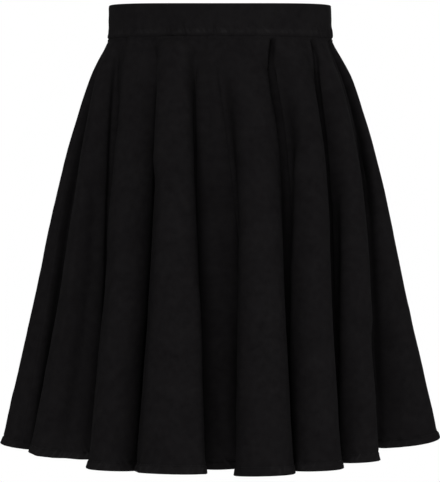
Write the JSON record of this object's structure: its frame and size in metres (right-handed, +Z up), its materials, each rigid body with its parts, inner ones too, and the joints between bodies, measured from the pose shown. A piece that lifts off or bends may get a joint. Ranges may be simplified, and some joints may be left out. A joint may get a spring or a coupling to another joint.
{
  "type": "circle skirt",
  "caption": "Flared full-circle skirt in plain black cloth, falling in deep soft folds from a straight waistband, with a concealed zip at the centre back.",
  "frame": {"origin": "centre of the waist opening, level with the waistband's top edge, where the wearer's waist holds the skirt", "axes": "+Z up towards the wearer's head, the skirt's front faces -Y, +X is the wearer's left"},
  "size_m": [0.5046, 0.4632, 0.5092],
  "materials": {
    "cloth": "matt black cotton twill with a faint nap",
    "zip_tape": "black woven polyester tape and coil",
    "zip_metal": "black lacquered zinc, satin"
  },
  "bodies": {
    "skirt": {"front_panel": "cloth", "back_panel_right": "cloth", "back_panel_left": "cloth", "waistband": "cloth", "zip_tape": "zip_tape", "zip_slider": "zip_metal"},
    "pull": {"zip_pull": "zip_metal"}
  },
  "joints": [
    {"name": "pull_swing", "type": "hinge", "parent": "skirt", "child": "pull", "pos_m": [0, 0.09676, -0.0064], "axis": [1, 0, 0], "range_deg": [0, 170]}
  ]
}
